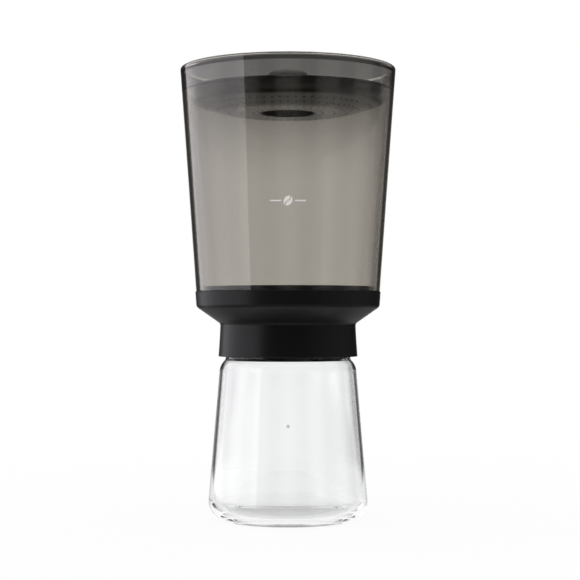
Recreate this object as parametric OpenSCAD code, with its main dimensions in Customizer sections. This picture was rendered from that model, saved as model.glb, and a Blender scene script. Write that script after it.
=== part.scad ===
// Cold brew coffee maker: a smoke-tinted brewing container with a rain dish and a mesh filter
// stands on a glass carafe, and a sprung drain valve opens when the carafe's rim lifts it.
// Millimetres, +Z up. The origin is the centre of the carafe's foot, where it meets the table.
// Every round piece is turned about Z from an outline of [radius, height, rounding] corners.

/* [Carafe] */
// Height of the carafe, to the top of its rim
carafe_h = 108; // [95:1:130]
// Outside radius of the neck
neck_r = 36.3; // [34:0.1:40]
// How far the shoulder stands out beyond the neck
shoulder_out = 3.6; // [3.2:0.1:5]
// How far the heel stands out beyond the shoulder
carafe_flare = 6.2; // [3:0.1:10]
// Height of the neck's rim above the middle of the shoulder's arc
neck_h = 22.7; // [20:0.1:26]
// Thickness of the blown glass wall
glass_t = 2.2; // [1.8:0.1:2.5]
// Thickness of the glass floor
glass_floor = 3.6; // [2.5:0.1:6]
// Radius of the rounded heel under the wall
heel_arc = 10.8; // [7:0.1:13]
// Radius of the rounded shoulder
shoulder_arc = 10.4; // [9:0.1:12]
// Radius of the hollow fillet from the shoulder to the neck
neck_fillet = 2.5; // [1:0.1:3]
// Depth of the shallow hollow under the floor
punt_h = 1.0; // [0.4:0.1:1.6]
// Radius of that hollow
punt_r = 29; // [20:0.5:30]

/* [Collar] */
// How far the collar's skirt hangs below the carafe's rim
skirt_drop = 13.15; // [10:0.05:14]
// Gap between the neck and the inside of the skirt's edge
skirt_gap = 1.9; // [1.7:0.1:3]
// How much the skirt narrows from its edge up to the cone
skirt_flare = 1.1; // [0.4:0.1:1.2]
// Height of the skirt, from its edge up to the cone
skirt_h = 18.95; // [18.5:0.05:20]
// Wall of the collar
collar_t = 2.2; // [1.6:0.1:2.3]
// Angle of the cone above the level
cone_angle = 35; // [32:1:38]
// How far the ring round the container's foot stands out beyond the top of the skirt
ring_out = 14.5; // [13.5:0.1:17]
// Height of that ring above the corner of the cone
ring_h = 8.9; // [8:0.1:12]
// Radius that rounds the corner between the cone and the ring
ring_corner = 3; // [1:0.5:4]
// Ribs inside the skirt that centre the brewer on the neck
rib_count = 8; // [4:1:12]

/* [Container] */
// Height of the tapered container above the collar's ring
container_h = 129.4; // [100:0.1:150]
// Lean of the container's wall from the vertical, in degrees
container_taper = 4.03; // [3.5:0.01:5]
// Wall of the container
wall_t = 2.5; // [2.2:0.1:2.8]
// How far the container's outside lies inside the ring's outside
ring_proud = 0.4; // [0.2:0.1:0.8]
// Depth of the rain dish's seat below the container's rim
dish_seat_depth = 13.9; // [12:0.1:20]
// Width of the ledge that the rain dish rests on
dish_ledge = 0.85; // [0.7:0.05:1.2]

/* [Rain dish] */
// Depth of the bowl below its seat
bowl_depth = 12; // [10:0.1:14]
// Radius of the bowl's flat floor
bowl_floor_r = 36; // [35:0.1:39]
// Slope of the bowl's underside outside that floor, in degrees
bowl_slope = 15; // [12:1:20]
// Radius that rounds the bowl's slope into its upright side
bowl_corner = 7; // [4:0.5:9]
// Thickness of the dish
dish_t = 1.8; // [1.4:0.1:2.2]
// Diameter of one drip hole
hole_d = 1.4; // [0.8:0.1:2]
// Rings of drip holes
hole_rings = 5; // [3:1:7]
// Distance from the knob's foot to the inner ring
hole_margin = 3.4; // [3.4:0.1:6]
// Distance from the outer ring to the bowl's side
hole_edge = 10.7; // [8:0.1:14]
// Distance between holes along a ring
hole_pitch = 4.4; // [4:0.1:10]
// Radius of the knob near its top
knob_r = 12.3; // [11:0.1:13]
// Radius of the knob's foot, where it passes through the dish
knob_foot_r = 17; // [16:0.1:17.5]
// Wall of the hollow knob
knob_t = 1.6; // [1.2:0.1:2]
// How far the knob's top lies below the container's rim
knob_below_rim = 0.5; // [0.3:0.1:4]

/* [Filter] */
// Height of the filter frame's ring
frame_h = 5; // [4.5:0.1:5.5]
// Width of the filter frame's ring
frame_w = 2.6; // [2.2:0.1:4]
// Spokes that carry the mesh
spoke_count = 6; // [4:1:10]
// Width of one spoke
spoke_w = 2.2; // [1.5:0.1:4]
// Thickness of the steel mesh
mesh_t = 0.4; // [0.3:0.05:0.5]
// Radius of the pull button on the middle of the mesh
grip_r = 6; // [5:0.1:9]

/* [Drain valve] */
// Lift of the valve, from closed to fully open
valve_lift = 4; // [3:0.1:4]
// Radius of the valve's throat
throat_r = 9; // [8:0.1:9.5]
// Outside radius of the drain tube
tube_r = 19.2; // [18.5:0.1:20]
// Wall of the drain tube
tube_t = 2.6; // [2:0.1:3]
// Gap between the valve body's flange and the slope of the container's floor
flange_gap = 0.7; // [0.3:0.1:3]
// Thickness of the gasket under the flange
gasket_t = 1.2; // [1:0.1:1.4]
// Radius of the valve's stem
stem_r = 2.5; // [2.2:0.1:2.8]
// Wire of the valve's spring
wire_d = 0.7; // [0.5:0.05:0.8]
// Turns of the valve's spring
spring_turns = 5; // [4:1:6]
// Arms that join the stem to the ring over the carafe's rim
arm_count = 3; // [3:1:4]
// Width of one arm
arm_w = 5; // [4:0.1:7]
// Outside radius of the clamping nut
nut_r = 25.3; // [24:0.1:27]
// Notches round the clamping nut
nut_notches = 8; // [4:1:10]

/* [Hidden] */
// Faces of a turned piece as drawn on screen
$fn = 96;
// Clearance between pieces that are clamped or pushed together
SEAT_GAP = 0.1;
// Clearance of a piece that lifts out past another
LIFT_GAP = 0.3;
// Clearance of a stem in its guide, and of a sleeve on a pin
RUN_GAP = 0.05;

// Carafe: centres of the arcs at heel, shoulder and neck, outside and inside
shoulder_r = neck_r + shoulder_out;
carafe_r = shoulder_r + carafe_flare;
heel_c = [carafe_r - heel_arc, heel_arc];
shoulder_c = [shoulder_r - shoulder_arc, carafe_h - neck_h];
inner_heel_arc = heel_arc - glass_t;
inner_heel_c = [heel_c[0], glass_floor + inner_heel_arc];
inner_shoulder_arc = shoulder_arc - glass_t;
fillet_dr = neck_r + neck_fillet - shoulder_c[0];
fillet_dz = sqrt(pow(shoulder_arc + neck_fillet, 2) - pow(fillet_dr, 2));
fillet_c = shoulder_c + [fillet_dr, fillet_dz];
fillet_angle = atan2(fillet_dz, fillet_dr);
neck_in_r = neck_r - glass_t;
rim_round = 0.5;

// Collar, from the skirt's edge up to the ring's top
skirt_z = carafe_h - skirt_drop;
skirt_r = neck_r + skirt_gap + collar_t;
skirt_top_r = skirt_r - skirt_flare;
ring_r = skirt_top_r + ring_out;
cone_z = skirt_z + skirt_h;
ring_corner_r = ring_r - ring_h * tan(container_taper);
ring_z = cone_z + (ring_corner_r - skirt_top_r) * tan(cone_angle);
ring_top_z = ring_z + ring_h;
ring_in_r = ring_r - collar_t;

// Shelf inside the collar: it stops the actuator's ring and is clamped by the nut
pad_t = 1.2;
pad_groove = 0.5;
actuator_ring_t = 1.8;
actuator_ring_z = carafe_h + pad_t;
shelf_z = actuator_ring_z + actuator_ring_t + LIFT_GAP;
shelf_top_z = shelf_z + collar_t;
clamp_hole_r = tube_r + SEAT_GAP;

// Container, from its floor on the shelf up to its rim
rim_z = ring_top_z + container_h;
floor_z = shelf_top_z + SEAT_GAP;
floor_top_z = floor_z + wall_t;
floor_off = collar_t + SEAT_GAP;
floor_top_off = floor_off + wall_t;
foot_out_r = ring_in_r - SEAT_GAP;
foot_in_r = foot_out_r - wall_t;
dish_seat_z = rim_z - dish_seat_depth;
dish_seat_r = container_in_r(dish_seat_z);
mouth_r = dish_seat_r + dish_ledge;
lip_t = container_r(rim_z) - mouth_r;
lip_round = 0.45 * lip_t;

// Filter, on the step inside the container's foot
filter_seat_z = ring_top_z - 0.4;
filter_gasket_r = container_in_r(filter_seat_z) - LIFT_GAP;
gasket_lip = 1.3;
frame_flange_t = 1.2;
frame_flange_z = filter_seat_z + gasket_lip + RUN_GAP;
frame_flange_r = filter_gasket_r - 0.75;
frame_r = foot_in_r - LIFT_GAP - SEAT_GAP;
frame_top_z = frame_flange_z + frame_flange_t;
mesh_z = frame_flange_z - 0.8;
mesh_r = frame_r - 1.1;
spoke_h = 2.4;
hub_r = 7;
hub_pin_r = 1.9;
hub_pin_h = 1.2;

// Valve body: a flange on its gasket, a funnel, a throat with a seat, and the tube through the floor
flange_z = floor_top_z + gasket_t;
flange_r = cone_r_at(floor_top_z, floor_top_off) - flange_gap;
flange_edge_t = 2;
seat_z = flange_z + 0.4;
seat_w = 2.6;
throat_h = 1.4;
tube_in_r = tube_r - tube_t;
guide_r = 5;
guide_h = 4;
guide_z = seat_z - throat_h - 0.2 - guide_h;
web_w = 1.6;
web_h = 2.4;
nut_h = 3.8;
nut_z = shelf_z - SEAT_GAP - nut_h;
tube_z = nut_z - 0.6;

// Valve: heights in the open position, with the actuator's pad on the carafe's rim
hub_h = 3;
hub_top_z = tube_z - 1;
hub_bottom_z = hub_top_z - hub_h;
actuator_hub_r = 6;
arm_t = 2.6;
post_out_r = neck_in_r - 1.5;
post_t = 2.8;
actuator_ring_in_r = post_out_r - 0.6;
actuator_ring_r = neck_r + LIFT_GAP;
pad_in_r = neck_in_r + 0.4;
pad_out_r = neck_r - 0.4;
seal_z = seat_z + valve_lift;
seal_t = 2;
seal_r = throat_r + seat_w + 0.2;
head_t = 1.6;
head_r = 8.2;
pin_r = stem_r - 0.6;
groove_r = pin_r - 0.5;
clip_t = 0.6;
clip_r = 4;
clip_z = hub_bottom_z - RUN_GAP - clip_t;
stem_end_z = clip_z - 0.8;
coil_r = stem_r + wire_d / 2 + 1.15;

// Knob
knob_waist_r = knob_r + 0.5;
knob_waist_round = 12;

// Radius of the container's tapered wall at a height, outside and inside
function container_r(z) = ring_r - ring_proud + (z - ring_top_z) * tan(container_taper);
function container_in_r(z) = container_r(z) - wall_t;

// The collar's cone as a line, moved inwards by off: its height at a radius, its radius at a height
function cone_z_at(r, off) = cone_z + (r - skirt_top_r) * tan(cone_angle) + off / cos(cone_angle);
function cone_r_at(z, off) = skirt_top_r + (z - cone_z - off / cos(cone_angle)) / tan(cone_angle);

// The skirt's flared outside, from the cone (share 0) to its edge (share 1)
function skirt_point(share, off) =
    [skirt_top_r + skirt_flare * pow(share, 1.4) - off, cone_z - share * skirt_h];

// Points of an arc about c, from angle a0 to a1
function arc(c, r, a0, a1, steps = 8) =
    [for (i = [0 : steps]) let (a = a0 + (a1 - a0) * i / steps) c + r * [cos(a), sin(a)]];

// Angle of the outward normal of the straight line that touches two arcs, the lower one first
function tangent_angle(c1, r1, c2, r2) =
    atan2(c1[0] - c2[0], c2[1] - c1[1]) + asin((r1 - r2) / norm(c2 - c1));

// The corner q between p and s, rounded to radius r
function corner(p, q, s, r, steps = 5) =
    let (
        u = (p - q) / norm(p - q),
        w = (s - q) / norm(s - q),
        half = acos(u * w) / 2,
        c = q + (u + w) / norm(u + w) * r / sin(half),
        from = q + u * r / tan(half) - c,
        to = q + w * r / tan(half) - c,
        a0 = atan2(from[1], from[0]),
        turn = (atan2(to[1], to[0]) - a0 + 540) % 360 - 180
    )
    arc(c, r, a0, a0 + turn, steps);

// An outline of [radius, height, rounding] corners as points; a corner with no rounding stays sharp
function rounded(path) =
    let (n = len(path), xy = [for (p = path) [p[0], p[1]]])
    [for (i = [0 : n - 1])
        let (before = xy[(i + n - 1) % n], after = xy[(i + 1) % n])
        each is_undef(path[i][2]) ? [xy[i]] : corner(before, xy[i], after, path[i][2])];

// A turned piece
module turned(path) {
    rotate_extrude() polygon(rounded(path));
}

// A flat ring between two radii and two heights
module ring(r_in, r_out, z0, z1) {
    turned([[r_in, z0], [r_out, z0], [r_out, z1], [r_in, z1]]);
}

// Copies of a child, evenly round the axis
module around(count) {
    for (i = [0 : count - 1]) rotate([0, 0, i * 360 / count]) children();
}

// A bar along X from one radius to another, centred on Y
module bar(r0, r1, w, z0, z1) {
    translate([r0, -w / 2, z0]) cube([r1 - r0, w, z1 - z0]);
}

module glass_carafe() {
    out_a = tangent_angle(heel_c, heel_arc, shoulder_c, shoulder_arc);
    in_a = tangent_angle(inner_heel_c, inner_heel_arc, shoulder_c, inner_shoulder_arc);
    color([0.92, 0.95, 0.95, 0.35]) turned(concat(
        [[0, punt_h], [punt_r, punt_h], [punt_r + 2.5, 0]],
        arc(heel_c, heel_arc, -90, out_a, 10),
        arc(shoulder_c, shoulder_arc, out_a, fillet_angle),
        arc(fillet_c, neck_fillet, 180 + fillet_angle, 180, 5),
        [[neck_r, carafe_h, rim_round], [neck_in_r, carafe_h, rim_round]],
        arc(fillet_c, neck_fillet + glass_t, 180, 180 + fillet_angle, 5),
        arc(shoulder_c, inner_shoulder_arc, fillet_angle, in_a),
        arc(inner_heel_c, inner_heel_arc, in_a, -90, 10),
        [[0, glass_floor]]
    ));
}

// Smoke-tinted container: rounded lip, dish seat, tapered wall, step for the filter, sloping floor
module brewing_container() {
    step_z = ring_top_z + SEAT_GAP;
    color([0.42, 0.41, 0.37, 0.6]) turned([
        [clamp_hole_r, floor_z],
        [cone_r_at(floor_z, floor_off), floor_z],
        [foot_out_r, cone_z_at(foot_out_r, floor_off), 1],
        [foot_out_r, step_z],
        [container_r(step_z), step_z],
        [container_r(rim_z), rim_z, lip_round],
        [mouth_r, rim_z, lip_round],
        [mouth_r, dish_seat_z],
        [dish_seat_r, dish_seat_z, 0.2],
        [container_in_r(filter_seat_z), filter_seat_z],
        [foot_in_r, filter_seat_z, 0.3],
        [foot_in_r, cone_z_at(foot_in_r, floor_top_off), 2],
        [cone_r_at(floor_top_z, floor_top_off), floor_top_z, 2],
        [clamp_hole_r, floor_top_z]
    ]);
}

// Black collar: ring, cone and flared skirt, with a shelf and centring ribs inside
module base_collar() {
    steps = 6;
    rib_w = 1.6;
    rib_r = neck_r + LIFT_GAP + RUN_GAP * 2;
    rib_z = skirt_z + 1;
    rib_top_z = carafe_h - valve_lift - 0.6;
    edge_in_r = skirt_r - collar_t;
    color([0.09, 0.09, 0.09]) {
        turned(concat(
            [for (i = [0 : steps]) skirt_point(i / steps, collar_t)],
            [for (i = [0 : steps - 1]) skirt_point(1 - i / steps, 0)],
            [
                [skirt_top_r, cone_z, 2],
                [ring_corner_r, ring_z, ring_corner],
                [ring_r, ring_top_z, 0.25],
                [ring_in_r, ring_top_z, 0.25],
                [ring_in_r, cone_z_at(ring_in_r, collar_t), 1],
                [cone_r_at(shelf_top_z, collar_t), shelf_top_z],
                [clamp_hole_r, shelf_top_z],
                [clamp_hole_r, shelf_z],
                [skirt_top_r - collar_t, shelf_z]
            ]
        ));
        around(rib_count) bar(rib_r, edge_in_r + collar_t / 4, rib_w, rib_z, rib_top_z);
    }
}

// Funnel, throat and drain tube in one moulding, with the stem's guide on three webs
module valve_body() {
    throat_z = seat_z - throat_h;
    web_z = guide_z + 0.8;
    color([0.13, 0.13, 0.13]) difference() {
        union() {
            turned([
                [tube_in_r, tube_z, 0.4],
                [tube_r, tube_z, 0.6],
                [tube_r, flange_z],
                [flange_r, flange_z],
                [flange_r, flange_z + flange_edge_t, 0.8],
                [throat_r + seat_w, seat_z],
                [throat_r, seat_z, 0.3],
                [throat_r, throat_z],
                [tube_in_r, throat_z - 0.8]
            ]);
            translate([0, 0, guide_z]) cylinder(r = guide_r, h = guide_h);
            around(3) bar(stem_r + 1, tube_in_r + tube_t / 2, web_w, web_z, web_z + web_h);
        }
        translate([0, 0, guide_z - 1]) cylinder(r = stem_r + RUN_GAP, h = guide_h + 2);
    }
}

// Silicone ring between the valve body's flange and the container's floor
module container_gasket() {
    color([0.2, 0.2, 0.2]) ring(tube_r + 2.8, flange_r - 0.5, floor_top_z, flange_z);
}

// Nut that clamps valve body, container and collar together; its notches take a spanner
module clamp_nut() {
    notch_r = 2.2;
    color([0.16, 0.16, 0.16]) difference() {
        turned([
            [clamp_hole_r, nut_z, 0.4],
            [nut_r, nut_z, 0.6],
            [nut_r, nut_z + nut_h],
            [clamp_hole_r, nut_z + nut_h]
        ]);
        around(nut_notches) translate([nut_r, 0, nut_z - 1])
            cylinder(r = notch_r, h = nut_h - 0.2, $fn = 32);
    }
}

// Stem: round head over the seal, shaft in the guide, thinner pin with the clip's groove
module valve_stem() {
    head_z = seal_z + seal_t;
    color([0.75, 0.75, 0.73]) turned([
        [0, stem_end_z],
        [pin_r, stem_end_z, 0.4],
        [pin_r, clip_z - RUN_GAP],
        [groove_r, clip_z - RUN_GAP],
        [groove_r, clip_z + clip_t + RUN_GAP],
        [pin_r, clip_z + clip_t + RUN_GAP],
        [pin_r, hub_top_z],
        [stem_r, hub_top_z],
        [stem_r, head_z],
        [head_r, head_z, 0.4],
        [head_r, head_z + head_t, 1],
        [0, head_z + head_t]
    ]);
}

// Silicone disc under the stem's head, with the raised lip that closes on the seat
module valve_seal() {
    lip_w = seat_w - 0.8;
    lip_in_r = throat_r + 0.5;
    color([0.55, 0.55, 0.53]) turned([
        [stem_r + RUN_GAP, seal_z + 0.5],
        [lip_in_r - 0.5, seal_z + 0.5],
        [lip_in_r, seal_z],
        [lip_in_r + lip_w, seal_z],
        [seal_r, seal_z + 0.5],
        [seal_r, seal_z + seal_t, 0.5],
        [stem_r + RUN_GAP, seal_z + seal_t]
    ]);
}

// Coil spring between the guide and the actuator's hub, as rings of points swept along a helix
module valve_spring() {
    sides = 8;
    steps = 16;
    z0 = hub_top_z + wire_d / 2;
    z1 = guide_z - wire_d / 2;
    count = spring_turns * steps;
    lean = atan2((z1 - z0) / spring_turns, 2 * PI * coil_r);
    section = [for (k = [0 : sides - 1]) let (b = k * 360 / sides) wire_d / 2 * [cos(b), sin(b)]];
    points = [for (i = [0 : count]) let (a = i * 360 / steps, z = z0 + (z1 - z0) * i / count)
        for (s = section) let (r = coil_r + s[0], side = s[1] * sin(lean))
            [r * cos(a) + side * sin(a), r * sin(a) - side * cos(a), z + s[1] * cos(lean)]];
    walls = [for (i = [0 : count - 1]) for (k = [0 : sides - 1]) let (n = (k + 1) % sides)
        [i * sides + k, (i + 1) * sides + k, (i + 1) * sides + n, i * sides + n]];
    first = [for (k = [0 : sides - 1]) k];
    last = [for (k = [sides - 1 : -1 : 0]) count * sides + k];
    color([0.8, 0.8, 0.8]) polyhedron(points = points, faces = concat(walls, [first, last]));
}

// Hub on the stem, cranked arms up through the neck, and the ring over the carafe's rim
module valve_actuator() {
    arm_z = hub_bottom_z + 0.2;
    ring_z1 = actuator_ring_z + actuator_ring_t;
    color([0.18, 0.18, 0.18]) difference() {
        union() {
            translate([0, 0, hub_bottom_z]) cylinder(r = actuator_hub_r, h = hub_h);
            around(arm_count) {
                bar(pin_r + 1, post_out_r, arm_w, arm_z, arm_z + arm_t);
                bar(post_out_r - post_t, post_out_r, arm_w, arm_z, ring_z1);
            }
            ring(actuator_ring_in_r, actuator_ring_r, actuator_ring_z, ring_z1);
        }
        translate([0, 0, hub_bottom_z - 1]) cylinder(r = pin_r + RUN_GAP, h = hub_h + 2);
        ring(pad_in_r - RUN_GAP, pad_out_r + RUN_GAP, actuator_ring_z - 1, actuator_ring_z + pad_groove);
    }
}

// Soft ring in the actuator's groove, which sits on the carafe's rim
module actuator_pad() {
    color([0.3, 0.3, 0.3]) ring(pad_in_r, pad_out_r, carafe_h, actuator_ring_z + pad_groove - RUN_GAP);
}

// Spring clip that holds the actuator's hub on the stem
module stem_clip() {
    mouth_w = 2.2;
    color([0.7, 0.7, 0.7]) difference() {
        ring(groove_r + RUN_GAP, clip_r, clip_z, clip_z + clip_t);
        bar(0, clip_r + 1, mouth_w, clip_z - 1, clip_z + clip_t + 1);
        around(3) translate([-clip_r, 0, clip_z - 1]) cylinder(r = 1.1, h = clip_t + 2, $fn = 32);
    }
}

// Plastic frame of the filter: ring with a groove for the mesh, flange, spokes, hub and its pin
module filter_frame() {
    in_r = frame_r - frame_w;
    spoke_z = mesh_z - RUN_GAP - spoke_h;
    hub_top = mesh_z - RUN_GAP;
    color([0.12, 0.12, 0.12]) {
        turned([
            [in_r, frame_top_z - frame_h, 0.4],
            [frame_r, frame_top_z - frame_h, 0.6],
            [frame_r, frame_flange_z],
            [frame_flange_r, frame_flange_z],
            [frame_flange_r, frame_top_z],
            [in_r, frame_top_z, 0.4],
            [in_r, mesh_z + mesh_t + RUN_GAP],
            [mesh_r + RUN_GAP, mesh_z + mesh_t + RUN_GAP],
            [mesh_r + RUN_GAP, mesh_z - RUN_GAP],
            [in_r, mesh_z - RUN_GAP]
        ]);
        around(spoke_count) bar(hub_r - 1, in_r + 0.5, spoke_w, spoke_z, hub_top);
        translate([0, 0, spoke_z]) cylinder(r = hub_r, h = spoke_h);
        translate([0, 0, hub_top - 1]) cylinder(r = hub_pin_r, h = 1 + RUN_GAP * 2 + mesh_t + hub_pin_h);
    }
}

// Disc of fine steel mesh, with a hole for the hub's pin
module filter_mesh() {
    color([0.62, 0.62, 0.6]) ring(hub_pin_r + RUN_GAP, mesh_r, mesh_z, mesh_z + mesh_t);
}

// Silicone channel round the frame's flange, which seals on the step in the container
module filter_gasket() {
    lip_top_z = frame_top_z + RUN_GAP + 0.7;
    color([0.15, 0.15, 0.15]) turned([
        [frame_r + SEAT_GAP, filter_seat_z],
        [filter_gasket_r, filter_seat_z],
        [filter_gasket_r, lip_top_z, 0.5],
        [frame_r + LIFT_GAP, lip_top_z, 0.3],
        [frame_r + LIFT_GAP, frame_top_z + RUN_GAP],
        [frame_flange_r + RUN_GAP, frame_top_z + RUN_GAP],
        [frame_flange_r + RUN_GAP, frame_flange_z - RUN_GAP],
        [frame_r + SEAT_GAP, frame_flange_z - RUN_GAP]
    ]);
}

// Button that clips on the hub's pin over the mesh, to pull the filter out by
module filter_grip() {
    foot_z = mesh_z + mesh_t + RUN_GAP;
    pocket_z = foot_z + hub_pin_h + RUN_GAP;
    color([0.12, 0.12, 0.12]) turned([
        [hub_pin_r + RUN_GAP, foot_z],
        [grip_r, foot_z],
        [grip_r, pocket_z + 0.7, 0.8],
        [0, pocket_z + 0.7],
        [0, pocket_z],
        [hub_pin_r + RUN_GAP, pocket_z]
    ]);
}

// Rain dish: rim flange on the container's seat, curved bowl and rings of drip holes
module rainmaker_dish() {
    flange_out_r = mouth_r - LIFT_GAP;
    flange_t = 1.5;
    side_r = dish_seat_r - LIFT_GAP * 1.5;
    side_in_r = side_r - dish_t;
    bowl_z = dish_seat_z - bowl_depth;
    bowl_in_z = bowl_z + dish_t;
    floor_in_r = bowl_floor_r - dish_t * tan(bowl_slope / 2);
    hole_r0 = knob_foot_r + hole_margin;
    ring_pitch = (side_r - hole_edge - hole_r0) / (hole_rings - 1);
    color([0.1, 0.1, 0.1]) difference() {
        turned([
            [knob_foot_r + SEAT_GAP, bowl_z],
            [bowl_floor_r, bowl_z],
            [side_r, bowl_z + (side_r - bowl_floor_r) * tan(bowl_slope), bowl_corner],
            [side_r, dish_seat_z],
            [flange_out_r, dish_seat_z],
            [flange_out_r, dish_seat_z + flange_t, 0.5],
            [side_in_r, dish_seat_z + flange_t, 0.5],
            [side_in_r, bowl_in_z + (side_in_r - floor_in_r) * tan(bowl_slope), bowl_corner - dish_t],
            [floor_in_r, bowl_in_z],
            [knob_foot_r + SEAT_GAP, bowl_in_z]
        ]);
        for (i = [0 : hole_rings - 1]) {
            r = hole_r0 + i * ring_pitch;
            around(floor(2 * PI * r / hole_pitch)) translate([r, 0, bowl_z - 1])
                cylinder(d = hole_d, h = bowl_depth, $fn = 16);
        }
    }
}

// Hollow knob: foot through the dish, flange on its floor, waisted body and domed top
module rainmaker_knob() {
    bowl_z = dish_seat_z - bowl_depth;
    foot_top_z = bowl_z + dish_t + RUN_GAP;
    top_z = rim_z - knob_below_rim;
    waist_z = foot_top_z + 0.5 * (top_z - foot_top_z);
    dome = 6;
    color([0.14, 0.13, 0.13]) turned([
        [knob_foot_r, bowl_z, 0.3],
        [knob_foot_r, foot_top_z],
        [knob_foot_r + 2.4, foot_top_z],
        [knob_foot_r + 2.4, foot_top_z + 1.3, 0.6],
        [knob_foot_r - 0.2, foot_top_z + 1.8, 1],
        [knob_waist_r, waist_z, knob_waist_round],
        [knob_r, top_z, dome],
        [0, top_z],
        [0, top_z - knob_t],
        [knob_r - knob_t, top_z - knob_t, dome - knob_t],
        [knob_waist_r - knob_t, waist_z, knob_waist_round],
        [knob_foot_r - knob_t, foot_top_z + 1.8, 1],
        [knob_foot_r - knob_t, bowl_z]
    ]);
}

glass_carafe();
brewing_container();
base_collar();
valve_body();
container_gasket();
clamp_nut();
valve_stem();
valve_seal();
valve_spring();
valve_actuator();
actuator_pad();
stem_clip();
filter_frame();
filter_mesh();
filter_gasket();
filter_grip();
rainmaker_dish();
rainmaker_knob();
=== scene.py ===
"""Looks of a cold brew coffee maker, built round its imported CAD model.

A smoke-tinted brewing container with a perforated rain dish and a mesh filter stands on a glass
carafe, and a sprung drain valve joins the two. Sizes are in millimetres in the classes below, in the
CAD model's frame, and become metres when a mesh is made.
"""

import logging
import math
from dataclasses import dataclass
from enum import Enum
from typing import Any, Callable, ClassVar, Optional, Sequence, Union

import bpy
import numpy as np
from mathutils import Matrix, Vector
from mathutils.geometry import delaunay_2d_cdt


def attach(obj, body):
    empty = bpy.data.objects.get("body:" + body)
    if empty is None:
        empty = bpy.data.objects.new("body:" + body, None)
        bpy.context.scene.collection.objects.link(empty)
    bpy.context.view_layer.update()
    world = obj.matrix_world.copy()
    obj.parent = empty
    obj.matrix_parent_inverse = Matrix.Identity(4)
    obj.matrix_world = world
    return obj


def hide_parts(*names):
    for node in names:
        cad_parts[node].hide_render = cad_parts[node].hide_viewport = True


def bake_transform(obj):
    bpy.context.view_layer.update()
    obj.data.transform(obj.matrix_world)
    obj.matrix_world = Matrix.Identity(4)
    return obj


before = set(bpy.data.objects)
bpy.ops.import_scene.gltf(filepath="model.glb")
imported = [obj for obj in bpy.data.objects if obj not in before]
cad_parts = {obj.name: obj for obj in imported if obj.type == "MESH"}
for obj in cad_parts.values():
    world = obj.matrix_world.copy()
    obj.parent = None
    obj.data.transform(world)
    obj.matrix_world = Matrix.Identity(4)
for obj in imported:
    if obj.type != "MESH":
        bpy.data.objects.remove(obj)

Array = np.ndarray
Corner = Sequence[float]
Colour = tuple[float, float, float]
Point = tuple[float, float, float]
Sockets = dict[Union[str, int], Any]

MM = 0.001
SEAT_GAP = 0.1  # between pieces that stand in each other
LIFT_GAP = 0.3  # round a piece that lifts out
RUN_GAP = 0.05  # between pieces that slide or clip on
FILM = 0.05  # how far printed ink stands off its wall
GLASS_BOUNCES = 24  # of light, enough for every clear wall in one line
LOG = logging.getLogger("coffee_maker")


class Body(Enum):
    """The CAD bodies that pieces ride on."""

    CARAFE = "carafe"
    BREWER = "brewer"
    VALVE = "valve"
    FILTER = "filter"
    RAINMAKER = "rainmaker"


class Smoothness(Enum):
    """Steps round the axis of a turned piece."""

    LARGE = 288
    MEDIUM = 192
    SMALL = 96
    PRINT = 24


# Outlines: points [radius, height] in the plane through the axis


def arc(centre: Array, radius: float, start: float, end: float, steps: int = 10) -> Array:
    """Points on a circle: centre plus radius times (cosine, sine) of evenly spaced angles.

    Args:
        centre: The circle's centre.
        radius: Its radius.
        start: First angle in degrees.
        end: Last angle in degrees.
        steps: Number of spans between the points.

    Returns:
        Points as an array of steps + 1 rows.
    """
    angle = np.radians(np.linspace(start, end, steps + 1))
    return np.asarray(centre) + radius * np.stack((np.cos(angle), np.sin(angle)), axis=1)


def tangent_angle(low: Array, low_r: float, high: Array, high_r: float) -> float:
    """Angle of the outward normal of the straight line that touches two arcs.

    Args:
        low: Centre of the lower arc.
        low_r: Its radius.
        high: Centre of the upper arc.
        high_r: Its radius.

    Returns:
        The angle in degrees.
    """
    gap = np.asarray(high) - np.asarray(low)
    lean = math.atan2(-gap[0], gap[1]) + math.asin((low_r - high_r) / math.hypot(*gap))
    return math.degrees(lean)


def round_corner(before: Array, at: Array, after: Array, radius: float, steps: int = 6) -> Array:
    """An arc that touches both sides of a corner; its centre lies on the corner's bisector.

    Args:
        before: Point before the corner.
        at: The corner.
        after: Point after it.
        radius: Radius of the arc.
        steps: Spans along the arc.

    Returns:
        Points of the arc.
    """
    u = (before - at) / np.linalg.norm(before - at)
    w = (after - at) / np.linalg.norm(after - at)
    half = math.acos(float(np.clip(u @ w, -1, 1))) / 2
    centre = at + (u + w) / np.linalg.norm(u + w) * radius / math.sin(half)
    first = at + u * radius / math.tan(half) - centre
    last = at + w * radius / math.tan(half) - centre
    start = math.degrees(math.atan2(first[1], first[0]))
    turn = (math.degrees(math.atan2(last[1], last[0])) - start + 540) % 360 - 180
    return arc(centre, radius, start, start + turn, steps)


def rounded(corners: Sequence[Corner], steps: int = 6) -> Array:
    """A closed outline from corners [radius, height] or [radius, height, rounding].

    Args:
        corners: The corners in order.
        steps: Spans along each rounding.

    Returns:
        Points of the outline.
    """
    flat = np.array([c[:2] for c in corners], float)
    before, after = np.roll(flat, 1, axis=0), np.roll(flat, -1, axis=0)
    return np.vstack([
        round_corner(b, q, a, c[2], steps) if len(c) > 2 else q[None]
        for c, b, q, a in zip(corners, before, flat, after)
    ])


# Surfaces


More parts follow.
